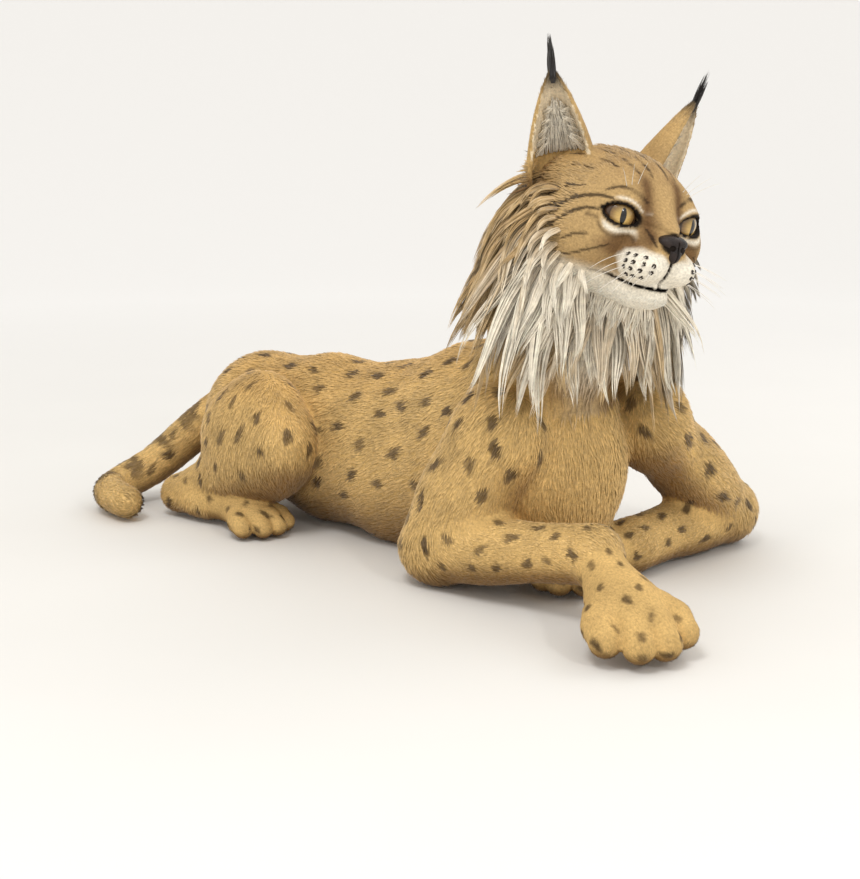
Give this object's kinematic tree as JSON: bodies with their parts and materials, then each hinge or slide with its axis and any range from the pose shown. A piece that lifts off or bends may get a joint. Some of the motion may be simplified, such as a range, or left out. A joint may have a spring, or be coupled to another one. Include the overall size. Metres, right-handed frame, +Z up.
{
  "type": "eurasian lynx",
  "caption": "A spotted, tawny wild cat with a pale ruff and tufted ears, lying on its chest and belly with its head raised and one foreleg crossed over the other.",
  "frame": {"origin": "on the floor, under the middle of the belly", "axes": "+Z is up, +X is the way the loins point and the head end lies, +Y is the animal's left"},
  "size_m": [0.9774, 0.5465, 0.6096],
  "materials": {
    "coat": "soft tawny fur with dark spots, white on the muzzle, ruff and belly",
    "dark_coat": "soft black fur",
    "nose_skin": "moist dark brown skin",
    "eye": "wet amber eye with a dark slit pupil"
  },
  "bodies": {
    "root": {"rump": "coat", "belly": "coat", "chest": "coat", "neck": "coat", "head": "coat", "ear_left": "coat", "ear_right": "coat", "upper_arm_left": "coat", "forearm_left": "coat", "forepaw_left": "coat", "upper_arm_right": "coat", "forearm_right": "coat", "forepaw_right": "coat", "thigh_right": "coat", "shank_right": "coat", "hindfoot_right": "coat", "thigh_left": "coat", "shank_left": "coat", "hindfoot_left": "coat", "tail_base": "coat", "tail_tip": "dark_coat", "nose": "nose_skin", "eye_left": "eye", "eye_right": "eye"}
  },
  "joints": []
}
